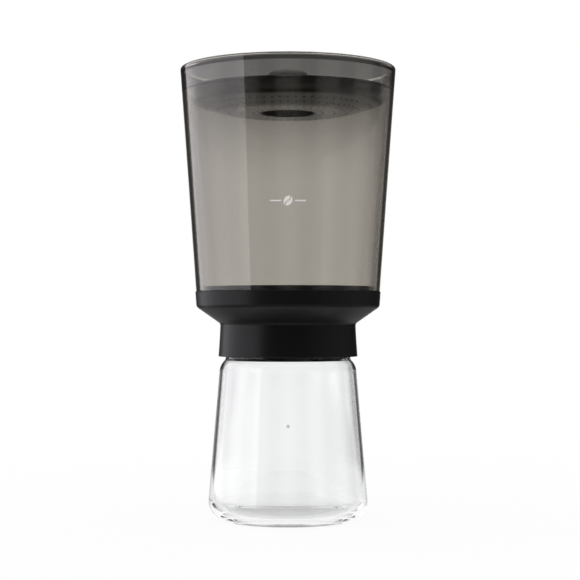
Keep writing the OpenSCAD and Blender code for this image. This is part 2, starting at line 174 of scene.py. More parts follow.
@dataclass
class Surface:
    """Points and faces of a shape, in millimetres; each entry of faces is an array of equal faces."""

    points: Array
    faces: list[Array]

    def __add__(self, other: "Surface") -> "Surface":
        """Both shapes side by side in one."""
        shift = len(self.points)
        return Surface(np.vstack((self.points, other.points)),
                       self.faces + [f + shift for f in other.faces])

    def welded(self, grid: float = 1e-4) -> "Surface":
        """The same shape with points that fall on one cell of a fine grid made one point."""
        keys = np.round(self.points / grid).astype(np.int64)
        _, first, back = np.unique(keys, axis=0, return_index=True, return_inverse=True)
        return Surface(self.points[first], [back.reshape(-1)[f] for f in self.faces])

    def flipped(self) -> "Surface":
        """The same shape with its faces turned round."""
        return Surface(self.points, [f[:, ::-1] for f in self.faces])

    def mesh(self, name: str, sharp: float) -> bpy.types.Mesh:
        """The shape as a smooth-shaded mesh in metres.

        Args:
            name: Name of the mesh.
            sharp: Angle in degrees from which an edge stays sharp.

        Returns:
            The mesh.
        """
        mesh = bpy.data.meshes.new(name)
        faces = [face for block in self.faces for face in block.tolist()]
        mesh.from_pydata((self.points * MM).tolist(), [], faces)
        mesh.polygons.foreach_set("use_smooth", np.ones(len(mesh.polygons), bool))
        mesh.set_sharp_from_angle(angle=math.radians(sharp))
        mesh.update()
        return mesh


def guarded(outline: Array, closed: bool, longest: float = 2.0, inset: float = 0.2) -> Array:
    """An outline with two more points close to the ends of each long straight span.

    The narrow bands there take up the turn of the smooth shading, so that a long wall shades and
    bends light as the true flat that it is.

    Args:
        outline: Points [radius, height] in order.
        closed: Whether the last point joins the first.
        longest: Length up to which a span stays as it is.
        inset: Distance of the new points from the ends.

    Returns:
        The outline with the new points.
    """
    after = np.roll(outline, -1, axis=0)
    span = np.linalg.norm(after - outline, axis=1)
    step = (after - outline) * (inset / np.maximum(span, inset))[:, None]
    points = np.stack((outline, outline + step, after - step), axis=1)
    keep = np.stack((span >= 0, span > longest, span > longest), axis=1)
    keep[-1, 1:] &= closed
    return points[keep]


def turned(outline: Array, segments: Smoothness, closed: bool = True) -> Surface:
    """An outline turned about Z: point (i, j) is (r_i cos a_j, r_i sin a_j, z_i), a_j evenly round.

    A point on the axis becomes one pole, and the spans beside it become triangles.

    Args:
        outline: Points [radius, height] in order.
        segments: Steps round the axis.
        closed: Whether the last point joins the first.

    Returns:
        The surface, with its faces outwards.
    """
    count = segments.value
    r, z = guarded(outline, closed).T
    if np.sum(r * np.roll(z, -1) - np.roll(r, -1) * z) < 0:
        r, z = r[::-1], z[::-1]
    angle = 2 * np.pi * np.arange(count) / count
    pole = r < 1e-9
    points = np.stack((np.outer(r, np.cos(angle)), np.outer(r, np.sin(angle)),
                       np.outer(z, np.ones(count))), axis=-1).reshape(-1, 3)
    index = np.arange(len(r) * count).reshape(len(r), count)
    index[pole] = index[pole, :1]
    low = index if closed else index[:-1]
    high = np.roll(index, -1, axis=0) if closed else index[1:]
    quads = np.stack((low, np.roll(low, -1, 1), np.roll(high, -1, 1), high), axis=-1).reshape(-1, 4)
    start, end = quads[:, 0] == quads[:, 1], quads[:, 2] == quads[:, 3]
    blocks = [quads[~start & ~end], quads[start & ~end, 1:], quads[end & ~start, :3]]
    used = np.unique(np.concatenate([b.ravel() for b in blocks]))
    return Surface(points[used], [np.searchsorted(used, b) for b in blocks if b.size])


def slab(front: Array, back: Array) -> Surface:
    """A closed plate between two grids of points of the same shape.

    Args:
        front: Points (rows, columns, 3) whose faces look outwards as rows x columns turn right-handed.
        back: The points behind them.

    Returns:
        Front, back and the strip round their edge.
    """
    rows, columns = front.shape[:2]
    index = np.arange(rows * columns).reshape(rows, columns)
    face = np.stack((index[:-1, :-1], index[1:, :-1], index[1:, 1:], index[:-1, 1:]), axis=-1)
    face, shift = face.reshape(-1, 4), rows * columns
    loop = np.concatenate((index[:-1, 0], index[-1, :-1], index[:0:-1, -1], index[0, :0:-1]))
    after = np.roll(loop, -1)
    edge = np.stack((loop, loop + shift, after + shift, after), axis=-1)
    return Surface(np.vstack((front.reshape(-1, 3), back.reshape(-1, 3))),
                   [face, face[:, ::-1] + shift, edge])


def perforated(
    holes: Array, hole_r: float, inner_r: float, outer_r: float, segments: int,
    low: Callable[[Array], Array], high: Callable[[Array], Array], support: Array,
) -> Surface:
    """A round plate with drilled holes, between two heights that depend on the radius.

    The plane round the holes is triangulated once; each point then goes to low(r) and to high(r),
    and walls join the two along the holes and the inner edge. The outer edge stays open.

    Args:
        holes: Centres (n, 2) of the holes.
        hole_r: Their radius.
        inner_r: Radius of the opening in the middle.
        outer_r: Radius of the outer edge.
        segments: Steps round both edges.
        low: Height of the underside at a radius.
        high: Height of the top at a radius.
        support: Radii of circles of extra points that carry the curvature.

    Returns:
        The surface, with its faces outwards.
    """
    sides, clear, filled = 14, 1.6, 0.97

    def circle(radius: float, count: int, turn: float = 0.0) -> Array:
        """Points evenly round a circle."""
        a = 2 * np.pi * (np.arange(count) + turn) / count
        return np.stack((radius * np.cos(a), radius * np.sin(a)), axis=-1)

    def nearest(places: Array) -> Array:
        """Distance from each place to the nearest hole's centre."""
        return np.linalg.norm(places[:, None] - holes[None], axis=2).min(axis=1)

    drilled = holes[:, None] + circle(hole_r, sides)[None]
    loops = [circle(inner_r, segments), circle(outer_r, segments)] + list(drilled)
    starts = np.cumsum([0] + [len(loop) for loop in loops])
    edges = np.concatenate([
        np.stack((np.arange(len(loop)), np.roll(np.arange(len(loop)), -1)), axis=1) + start
        for loop, start in zip(loops, starts)
    ])
    extra = np.concatenate([circle(r, segments // 2, 0.5 * (k % 2)) for k, r in enumerate(support)])
    flat = np.concatenate(loops + [extra[nearest(extra) > hole_r * clear]])
    out, _, triangles, *_ = delaunay_2d_cdt(
        [Vector(p) for p in flat.tolist()], edges.tolist(), [], 0, 1e-7)
    flat, faces = np.array([tuple(p) for p in out], float), np.array(triangles, int)
    middle = flat[faces].mean(axis=1)
    opening = (faces < segments).all(axis=1) | (nearest(middle) < hole_r * filled)
    faces = faces[~opening & (np.linalg.norm(middle, axis=1) < outer_r)]
    (ux, uy), (wx, wy) = ((flat[faces[:, k]] - flat[faces[:, 0]]).T for k in (1, 2))
    faces = np.where((ux * wy - uy * wx)[:, None] > 0, faces, faces[:, ::-1])
    r = np.linalg.norm(flat, axis=1)
    points = np.vstack((np.column_stack((flat, high(r))), np.column_stack((flat, low(r)))))
    walls = np.delete(edges, slice(segments, 2 * segments), axis=0)
    shift = len(flat)
    wall = np.stack((walls[:, 0], walls[:, 0] + shift, walls[:, 1] + shift, walls[:, 1]), axis=-1)
    return Surface(points, [faces, faces[:, ::-1] + shift, wall[:, ::-1]])


def coil(radius: float, wire: float, turns: float, low: float, high: float) -> Surface:
    """A round wire wound up a helix: its section turns with the helix and leans by the pitch angle.

    A point is at radius plus the section's outward part, and the section's other part goes along the
    normal of the helix, which leans back from Z by the pitch angle.

    Args:
        radius: Mean radius of the coil.
        wire: Diameter of the wire.
        turns: Number of turns.
        low: Height of the wire's middle at the foot.
        high: Height of the wire's middle at the top.

    Returns:
        The closed surface.
    """
    sides, steps, ground = 14, int(turns * 56), 0.055
    angle = np.linspace(0, 2 * np.pi * turns, steps + 1)[:, None]
    around = np.linspace(0, 2 * np.pi, sides, endpoint=False)[None]
    lean = math.atan2((high - low) / turns, 2 * np.pi * radius)
    # The ends are ground flat and close: the pitch starts and ends at nothing
    share = angle / angle[-1]
    height = low + (high - low) * (share - ground * np.sin(2 * np.pi * share))
    out, up = wire / 2 * np.cos(around), wire / 2 * np.sin(around)
    r, side = radius + out, up * math.sin(lean)
    points = np.stack((
        r * np.cos(angle) + side * np.sin(angle),
        r * np.sin(angle) - side * np.cos(angle),
        height + up * math.cos(lean),
    ), axis=-1)
    index = np.arange((steps + 1) * sides).reshape(steps + 1, sides)
    low_row, high_row = index[:-1], index[1:]
    tube = np.stack((low_row, high_row, np.roll(high_row, -1, 1), np.roll(low_row, -1, 1)), axis=-1)
    return Surface(points.reshape(-1, 3), [tube.reshape(-1, 4), index[:1], index[-1:, ::-1]])


# Shaders


class Value:
    """A number that a node gives; Python's operators add Math nodes."""

    def __init__(self, tree: "Shader", socket: bpy.types.NodeSocket) -> None:
        """Wraps an output socket of a tree."""
        self.tree, self.socket = tree, socket

    def __add__(self, other: Any) -> "Value":
        """Sum."""
        return self.tree.math("ADD", self, other)

    def __rsub__(self, other: float) -> "Value":
        """A plain number less the value."""
        return self.tree.math("SUBTRACT", other, self)

    def __mul__(self, other: Any) -> "Value":
        """Product."""
        return self.tree.math("MULTIPLY", self, other)

    __radd__, __rmul__ = __add__, __mul__

    def sine(self) -> "Value":
        """Sine of the value in radians."""
        return self.tree.math("SINE", self)

    def size(self) -> "Value":
        """The value without its sign."""
        return self.tree.math("ABSOLUTE", self)


class Shader:
    """A node tree while it is put together."""

    def __init__(self, tree: bpy.types.NodeTree) -> None:
        """Starts on a material's or world's tree, emptied."""
        self.tree = tree
        tree.nodes.clear()

    def node(self, kind: str, inputs: Optional[Sockets] = None, **settings: Any) -> bpy.types.Node:
        """Adds one node.

        Args:
            kind: Its type after the word ShaderNode, such as Math.
            inputs: Values or links of its sockets by name or number.
            settings: Its own settings.

        Returns:
            The node.
        """
        made = self.tree.nodes.new("ShaderNode" + kind)
        for name, setting in settings.items():
            setattr(made, name, setting)
        for key, value in (inputs or {}).items():
            link = value.socket if isinstance(value, Value) else value
            if isinstance(link, bpy.types.NodeSocket):
                self.tree.links.new(link, made.inputs[key])
            else:
                made.inputs[key].default_value = value
        return made

    def number(self, kind: str, inputs: Sockets, **settings: Any) -> Value:
        """The number that a new node gives first."""
        return Value(self, self.node(kind, inputs, **settings).outputs[0])

    def math(self, operation: str, a: Any, b: Any = 0.0) -> Value:
        """A Math node on two values."""
        return self.number("Math", {0: a, 1: b}, operation=operation)

    def place(self) -> bpy.types.NodeSocket:
        """The point on the piece, in metres in the model's frame."""
        return self.node("TexCoord").outputs["Object"]

    def split(self, vector: bpy.types.NodeSocket) -> tuple[Value, ...]:
        """A vector's x, y and z."""
        return tuple(Value(self, s) for s in self.node("SeparateXYZ", {0: vector}).outputs)

    def rays(self) -> tuple[Value, ...]:
        """Whether a ray comes from the camera, went through something, or was mirrored last."""
        path = self.node("LightPath").outputs
        return tuple(Value(self, path[f"Is {kind} Ray"]) for kind in ("Camera", "Transmission", "Glossy"))

    def noise(self, grain_mm: float, detail: float = 2.0, stretch: Sequence[float] = (1, 1, 1)) -> Value:
        """Noise from 0 to 1 with features about grain_mm across.

        Args:
            grain_mm: Size of a feature.
            detail: Finer layers.
            stretch: Factors on x, y and z.

        Returns:
            The noise.
        """
        at = self.node("VectorMath", {0: self.place(), 1: stretch}, operation="MULTIPLY").outputs[0]
        return self.number("TexNoise", {"Vector": at, "Scale": 1 / (grain_mm * MM), "Detail": detail})

    def between(self, value: Value, low: float, high: float, at_low: float, at_high: float,
                kind: str = "LINEAR") -> Value:
        """The value carried from one range to another, and held at its ends."""
        return self.number("MapRange", {"Value": value, 1: low, 2: high, 3: at_low, 4: at_high},
                           clamp=True, interpolation_type=kind)

    def mix(self, factor: Value, a: Any, b: Any) -> Value:
        """A number between two: the first at factor 0, the second at 1."""
        return self.number("Mix", {0: factor, 2: a, 3: b}, data_type="FLOAT")

    def blend(self, factor: Value, a: Colour, b: Colour) -> bpy.types.NodeSocket:
        """A colour between two: the first at factor 0, the second at 1."""
        return self.node("Mix", {0: factor, 6: (*a, 1), 7: (*b, 1)}, data_type="RGBA").outputs[2]

    def layered(self, factor: Value, a: bpy.types.Node, b: bpy.types.Node) -> bpy.types.Node:
        """A shader between two: the first at factor 0, the second at 1."""
        return self.node("MixShader", {0: factor, 1: a.outputs[0], 2: b.outputs[0]})

    def bump(self, height: Value, strength: float, depth_mm: float) -> bpy.types.NodeSocket:
        """A normal that follows a height, depth_mm deep at a height of 1."""
        return self.node("Bump", {"Height": height, "Strength": strength,
                                  "Distance": depth_mm * MM}).outputs["Normal"]


def new_material(name: str, parts: Callable[[Shader], dict[str, bpy.types.Node]]) -> bpy.types.Material:
    """A material whose output takes the shaders that parts returns for Surface and Volume."""
    material = bpy.data.materials.new(name)
    material.use_nodes = True
    tree = Shader(material.node_tree)
    tree.node("OutputMaterial", {end: made.outputs[0] for end, made in parts(tree).items()})
    return material


@dataclass(frozen=True)
class Finish:
    """A finish: it makes one material and keeps it."""

    name: str
    made: ClassVar[dict[str, bpy.types.Material]] = {}

    def material(self) -> bpy.types.Material:
        """The finish's material, made on first use."""
        if self.name not in Finish.made:
            Finish.made[self.name] = new_material(self.name, self.parts)
        return Finish.made[self.name]

    def parts(self, tree: Shader) -> dict[str, bpy.types.Node]:
        """The shader of the surface."""
        return {"Surface": tree.node("BsdfPrincipled", self.sockets(tree))}

    def sockets(self, tree: Shader) -> Sockets:
        """Values and links of the Principled shader; each finish has its own."""
        raise NotImplementedError


@dataclass(frozen=True)
class SeeThrough(Finish):
    """Polished glass or plastic, clear or tinted, with a slow drift in its colour.

    The colour tints light at the surface. The tint is what white light becomes besides on its way
    through a wall of wall_mm; it is absorbed along the way, so a longer way is darker.
    """

    colour: Colour
    tint: Optional[Colour] = None
    wall_mm: float = 2.5
    density: float = 400.0
    index: float = 1.5
    specular: float = 0.5
    drift: float = 0.01

    def parts(self, tree: Shader) -> dict[str, bpy.types.Node]:
        """The surface, and what absorbs light inside.

        A colour c at density d lets exp(-d (1 - c) way) through, so c = 1 + ln(tint) / (d wall).
        """
        made = super().parts(tree)
        if self.tint:
            colour = 1 + np.log(self.tint) / (self.density * self.wall_mm * MM)
            made["Volume"] = tree.node("VolumeAbsorption", {0: (*colour.tolist(), 1), 1: self.density})
        return made

    def sockets(self, tree: Shader) -> Sockets:
        """A slow drift in the colour."""
        darker = tuple(c * (1 - self.drift) for c in self.colour)
        return {
            "Base Color": tree.blend(tree.noise(42, 1.0, (1, 1, 0.4)), self.colour, darker),
            "Roughness": 0.0,
            "IOR": self.index,
            "Specular IOR Level": self.specular,
            "Transmission Weight": 1.0,
        }


@dataclass(frozen=True)
class MouldedPlastic(Finish):
    """Moulded plastic with a fine spark-eroded grain and slow variations in gloss."""

    colour: Colour
    roughness: float
    specular: float = 0.5
    shade: float = 0.25
    grain_mm: float = 0.35
    grain_depth_mm: float = 0.012

    def sockets(self, tree: Shader) -> Sockets:
        """Colour and roughness that drift slowly, and a fine grain in the normal."""
        slow, fine = tree.noise(16, 2.0), tree.noise(self.grain_mm, 3.0)
        lighter = tuple(c * (1 + self.shade) for c in self.colour)
        return {
            "Base Color": tree.blend(slow * 0.7 + fine * 0.3, self.colour, lighter),
            "Roughness": tree.between(slow * 0.6 + fine * 0.4, 0.3, 0.7, self.roughness - 0.04,
                                      self.roughness + 0.05),
            "Specular IOR Level": self.specular,
            "Normal": tree.bump(fine, 0.6, self.grain_depth_mm),
        }


@dataclass(frozen=True)
class Silicone(Finish):
    """Soft silicone: matte, with a dusty bloom."""

    colour: Colour
    bloom: float = 0.35

    def sockets(self, tree: Shader) -> Sockets:
        """Colour lightened where dust clings, high roughness, and a soft orange-peel surface."""
        dust = tree.between(tree.noise(3.0, 4.0), 0.45, 0.75, 0.0, 1.0)
        dusty = tuple(c + (0.25 - c) * self.bloom * 0.25 for c in self.colour)
        return {
            "Base Color": tree.blend(dust, self.colour, dusty),
            "Roughness": 0.62 + dust * 0.12,
            "Specular IOR Level": 0.35,
            "Normal": tree.bump(tree.noise(1.2, 2.0), 0.4, 0.02),
        }


@dataclass(frozen=True)
class DrawnSteel(Finish):
    """Bright stainless wire or sheet, with fine drawing lines along Z."""

    colour: Colour = (0.62, 0.61, 0.59)
    roughness: float = 0.24

    def sockets(self, tree: Shader) -> Sockets:
        """Metal whose colour and roughness vary in fine lines."""
        lines = tree.noise(0.3, 2.0, (1, 1, 0.1))
        return {
            "Base Color": tree.blend(lines, self.colour, tuple(c * 0.82 for c in self.colour)),
            "Metallic": 1.0,
            "Roughness": tree.between(lines, 0.3, 0.7, self.roughness - 0.06, self.roughness + 0.12),
            "Normal": tree.bump(lines, 0.3, 0.01),
        }


@dataclass(frozen=True)
class WovenSteel(Finish):
    """Plain-woven stainless mesh: wires go over and under each other in both directions, with painted shade
    between and under them.
    """

    pitch_mm: float = 0.62
    colour: Colour = (0.5, 0.49, 0.47)
    # gap: painted shade, the colour between the wires and where a wire dips under
    gap: Colour = (0.03, 0.03, 0.03)

    def sockets(self, tree: Shader) -> Sockets:
        """The height is the larger of two wires' round backs, each raised where it passes over. Where the
        height is low, between the wires and where one dips under the other, the colour goes to the gap
        colour: painted shade.
        """
        x, y, _ = tree.split(tree.place())
        turn = math.pi / (self.pitch_mm * MM)
        over = (x * turn + math.pi / 2).sine() * (y * turn + math.pi / 2).sine()
        warp = (y * turn).sine().size() * (0.75 + over * 0.25)
        weft = (x * turn).sine().size() * (0.75 - over * 0.25)
        height = tree.math("MAXIMUM", warp, weft)
        return {
            # Painted shade: darker towards the gap colour where the height is low
            "Base Color": tree.blend(tree.between(height, 0.35, 0.85, 0.0, 1.0), self.gap, self.colour),
            "Metallic": 1.0,
            "Roughness": tree.between(height, 0.3, 1.0, 0.55, 0.26),
            "Normal": tree.bump(height, 0.8, 0.08),
        }


@dataclass(frozen=True)
class Ink(Finish):
    """Printed ink: nearly flat, with small breaks in its cover."""

    colour: Colour
    roughness: float = 0.5

    def sockets(self, tree: Shader) -> Sockets:
        """Colour that thins in fine specks."""
        specks = tree.between(tree.noise(0.25, 3.0), 0.62, 0.8, 0.0, 0.35)
        return {
            "Base Color": tree.blend(specks, self.colour, tuple(c * 0.6 for c in self.colour)),
            "Roughness": self.roughness + specks * 0.3,
            "Normal": tree.bump(tree.noise(0.3, 2.0), 0.3, 0.01),
        }


CLEAR_GLASS = SeeThrough("clear_glass_finish", (0.966, 0.97, 0.969), specular=0.2)
SMOKE_PLASTIC = SeeThrough("smoke_plastic_finish", (0.85, 0.842, 0.818),
                           tint=(0.731, 0.713, 0.688), index=1.52, specular=0.88)
COLLAR_BLACK = MouldedPlastic("collar_black_finish", (0.004, 0.004, 0.0042), 0.34, specular=0.26)
INNER_PLASTIC = MouldedPlastic("inner_plastic_finish", (0.026, 0.026, 0.028), 0.4)
DISH_PLASTIC = MouldedPlastic("dish_plastic_finish", (0.01, 0.01, 0.01), 0.3, shade=0.15)
KNOB_PLASTIC = MouldedPlastic("knob_plastic_finish", (0.014, 0.013, 0.013), 0.42, specular=0.35, shade=0.15)
ACETAL = MouldedPlastic("acetal_finish", (0.62, 0.62, 0.6), 0.36, grain_depth_mm=0.006, shade=0.04)
BLACK_SILICONE = Silicone("black_silicone_finish", (0.03, 0.03, 0.032))
GREY_SILICONE = Silicone("grey_silicone_finish", (0.3, 0.3, 0.29), bloom=0.2)
SPRING_STEEL = DrawnSteel("spring_steel_finish")
FILTER_STEEL = WovenSteel("filter_steel_finish")
FILL_INK = Ink("fill_ink_finish", (0.74, 0.73, 0.71))
LEVEL_INK = Ink("level_ink_finish", (0.62, 0.62, 0.62))


def add_object(name: str, data: bpy.types.ID) -> bpy.types.Object:
    """A new object in the scene."""
    made = bpy.data.objects.new(name, data)
    bpy.context.scene.collection.objects.link(made)
    return made


def make_piece(
    name: str, surface: Surface, body: Optional[Body], finish: Finish,
    replaces: str = "", sharp: float = 35.0,
) -> bpy.types.Object:
    """Makes a piece from a surface, dresses it and lets it ride on its body.

    Args:
        name: Name of the piece.
        surface: Its shape.
        body: The CAD body that it rides on, or None where it joins two.
        finish: Its finish.
        replaces: The CAD node that it stands for.
        sharp: Angle in degrees from which an edge stays sharp.

    Returns:
        The piece.
    """
    piece = add_object(name, surface.mesh(name, sharp))
    piece.data.materials.append(finish.material())
    if body:
        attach(piece, body.value)
    if replaces:
        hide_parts(replaces)
    LOG.info("%s: %d points, %s", name, len(surface.points), finish.name)
    return piece


def dress(finishes: dict[str, Finish]) -> None:
    """Gives CAD nodes their finishes.

    Args:
        finishes: The finish of each node by the node's name.
    """
    for name, finish in finishes.items():
        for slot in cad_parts[name].material_slots:
            slot.material = finish.material()
        LOG.info("%s: CAD node, %s", name, finish.name)


# Printed marks


def on_wall(flat: Surface, z: float, wall: Callable[[Array], Array]) -> Surface:
    """A flat shape laid on the front of a turned wall: x becomes a length of arc, y a height.

    Args:
        flat: The shape; its third coordinate is the distance from the wall.
        z: Height of the shape's middle.
        wall: The wall's outside radius at a height.

    Returns:
        The shape on the wall.
    """
    across, up, off = flat.points.T
    r, angle = wall(z + up) + off, across / wall(z)
    return Surface(np.stack((r * np.sin(angle), -r * np.cos(angle), z + up), axis=-1), flat.faces)


def film(x: Array, y: Array) -> Surface:
    """A thin flat layer of ink, closed at the back and the edge, from a grid of its places."""
    made = slab(*(np.stack((x, y, np.full_like(x, off)), axis=-1) for off in (FILM, -FILM / 2)))
    turn = (x[1, 0] - x[0, 0]) * (y[1, 1] - y[1, 0]) - (y[1, 0] - y[0, 0]) * (x[1, 1] - x[1, 0])
    return made if turn > 0 else made.flipped()


@dataclass
class FillMark:
    """A plain bean between two dashes; its sizes are halves, from the middle."""

    bean_w: float = 2.25
    bean_h: float = 2.85
    tilt_deg: float = -32.0
    slit: float = 0.28
    slit_wave: float = 0.42
    dash_at: float = 6.85
    dash_up: float = 0.05
    dash_w: float = 3.3
    dash_h: float = 0.34
    least: float = 0.02

    def half(self, side: int) -> Surface:
        """Half of the bean: it fills the space between the wavy slit and its side of an ellipse."""
        along, out = np.meshgrid(np.linspace(-1, 1, 25), np.linspace(0, 1, 9), indexing="ij")
        inner = self.slit_wave * np.sin(along * np.pi) + side * self.slit
        reach = self.bean_w * np.sqrt(np.clip(1 - along ** 2, 0, 1))
        x, y = inner + side * np.maximum(reach - side * inner, self.least) * out, along * self.bean_h
        cosine, sine = math.cos(math.radians(self.tilt_deg)), math.sin(math.radians(self.tilt_deg))
        return film(x * cosine - y * sine, x * sine + y * cosine)

    def dash(self, side: int) -> Surface:
        """A bar whose ends are rounded by a superellipse."""
        along, up = np.meshgrid(np.linspace(-1, 1, 17), np.linspace(-1, 1, 3), indexing="ij")
        thick = self.dash_h * np.sqrt(1 - 0.999 * np.abs(along) ** 12)
        return film(side * self.dash_at + along * self.dash_w, up * thick + self.dash_up)

    def shape(self) -> Surface:
        """The whole mark, flat."""
        return self.half(-1) + self.half(1) + self.dash(-1) + self.dash(1)


# The coffee maker


@dataclass
class Carafe:
    """Glass carafe, turned from arcs that touch straight walls, with a printed level dot."""

    height: float = 108.0
    neck_r: float = 36.3
    shoulder_out: float = 3.6
    flare: float = 6.2
    neck_h: float = 22.7
    wall: float = 2.2
    floor: float = 3.6
    heel_r: float = 10.8
    shoulder_r: float = 10.4
    neck_fillet: float = 2.5
    inner_fillet: float = 4.0
    inner_rise: float = 1.3
    punt_h: float = 0.6
    punt_from: float = 27.5
    punt_to: float = 34.0
    rim_round: float = 0.9
    dot_r: float = 0.95
    dot_z: float = 57.0
    dimple: tuple[Corner, ...] = ((0, 0.25), (8, 0.22), (18, 0.1))
    sag: tuple[Corner, ...] = ((24, -0.06), (12, -0.15), (0, -0.18))

    def __post_init__(self) -> None:
        """Works out the centres of the arcs and the lean of the wall."""
        across = self.neck_r + self.shoulder_out
        self.neck_in_r = self.neck_r - self.wall
        self.heel_in_r, self.shoulder_in_r = self.heel_r - self.wall, self.shoulder_r - self.wall
        self.heel = np.array((across + self.flare - self.heel_r, self.heel_r))
        self.shoulder = np.array((across - self.shoulder_r, self.height - self.neck_h))
        self.wall_deg = tangent_angle(self.heel, self.heel_r, self.shoulder, self.shoulder_r)

    def fillet(self, shoulder: Array, shoulder_r: float, neck: float, radius: float) -> tuple[Array, float]:
        """The arc between the shoulder and the neck: it touches both from outside.

        Args:
            shoulder: Centre of the shoulder's arc.
            shoulder_r: Its radius.
            neck: Radius of the neck.
            radius: Radius of the new arc.

        Returns:
            Its centre, and the angle on the shoulder where the two arcs touch.
        """
        across = neck + radius - shoulder[0]
        up = math.sqrt((shoulder_r + radius) ** 2 - across ** 2)
        return shoulder + (across, up), math.degrees(math.atan2(up, across))

    def outline(self) -> Array:
        """Outside from the foot up to the rim, then inside down to the floor's middle."""
        heel_in = np.array((self.heel[0], self.floor + self.heel_in_r))
        thinned = self.shoulder + (0, self.inner_rise)
        in_deg = tangent_angle(heel_in, self.heel_in_r, thinned, self.shoulder_in_r)
        outer, bend = self.fillet(self.shoulder, self.shoulder_r, self.neck_r, self.neck_fillet)
        inner, in_bend = self.fillet(thinned, self.shoulder_in_r, self.neck_in_r, self.inner_fillet)
        below = self.height - 3
        rim = rounded([
            (self.neck_in_r, below), (self.neck_r, below),
            (self.neck_r, self.height, self.rim_round), (self.neck_in_r, self.height, self.rim_round),
        ])[2:]
        share = np.linspace(0, 1, 9)
        ease = share * share * (3 - 2 * share)
        punt = np.stack((self.punt_from + (self.punt_to - self.punt_from) * share,
                         self.punt_h * (1 - ease)), axis=1)
        return np.vstack((
            np.array(self.dimple) + (0, self.punt_h), punt,
            arc(self.heel, self.heel_r, -90, self.wall_deg, 20),
            arc(self.shoulder, self.shoulder_r, self.wall_deg, bend, 14),
            arc(outer, self.neck_fillet, 180 + bend, 180, 8)[1:],
            rim,
            arc(inner, self.inner_fillet, 180, 180 + in_bend, 8)[:-1],
            arc(thinned, self.shoulder_in_r, in_bend, in_deg, 14),
            arc(heel_in, self.heel_in_r, in_deg, -90, 18),
            np.array(self.sag) + (0, self.floor),
        ))

    def wall_r(self, z: Array) -> Array:
        """Outside radius of the straight wall at a height: on the line that touches both arcs."""
        lean = math.radians(self.wall_deg)
        return self.heel[0] + (self.heel_r - (z - self.heel[1]) * math.sin(lean)) / math.cos(lean)

    def build(self) -> None:
        """Makes the glass and the level dot, a thin disc turned and laid on the wall."""
        make_piece("glass_carafe_blown", turned(self.outline(), Smoothness.LARGE), Body.CARAFE,
                   CLEAR_GLASS, "glass_carafe")
        r = np.linspace(0, self.dot_r, 6)
        off = np.repeat((-FILM / 2, FILM), len(r))
        disc = turned(np.stack((np.append(r, r[::-1]), off), axis=1), Smoothness.PRINT, closed=False)
        make_piece("level_dot", on_wall(disc, self.dot_z, self.wall_r), Body.CARAFE,
                   LEVEL_INK)


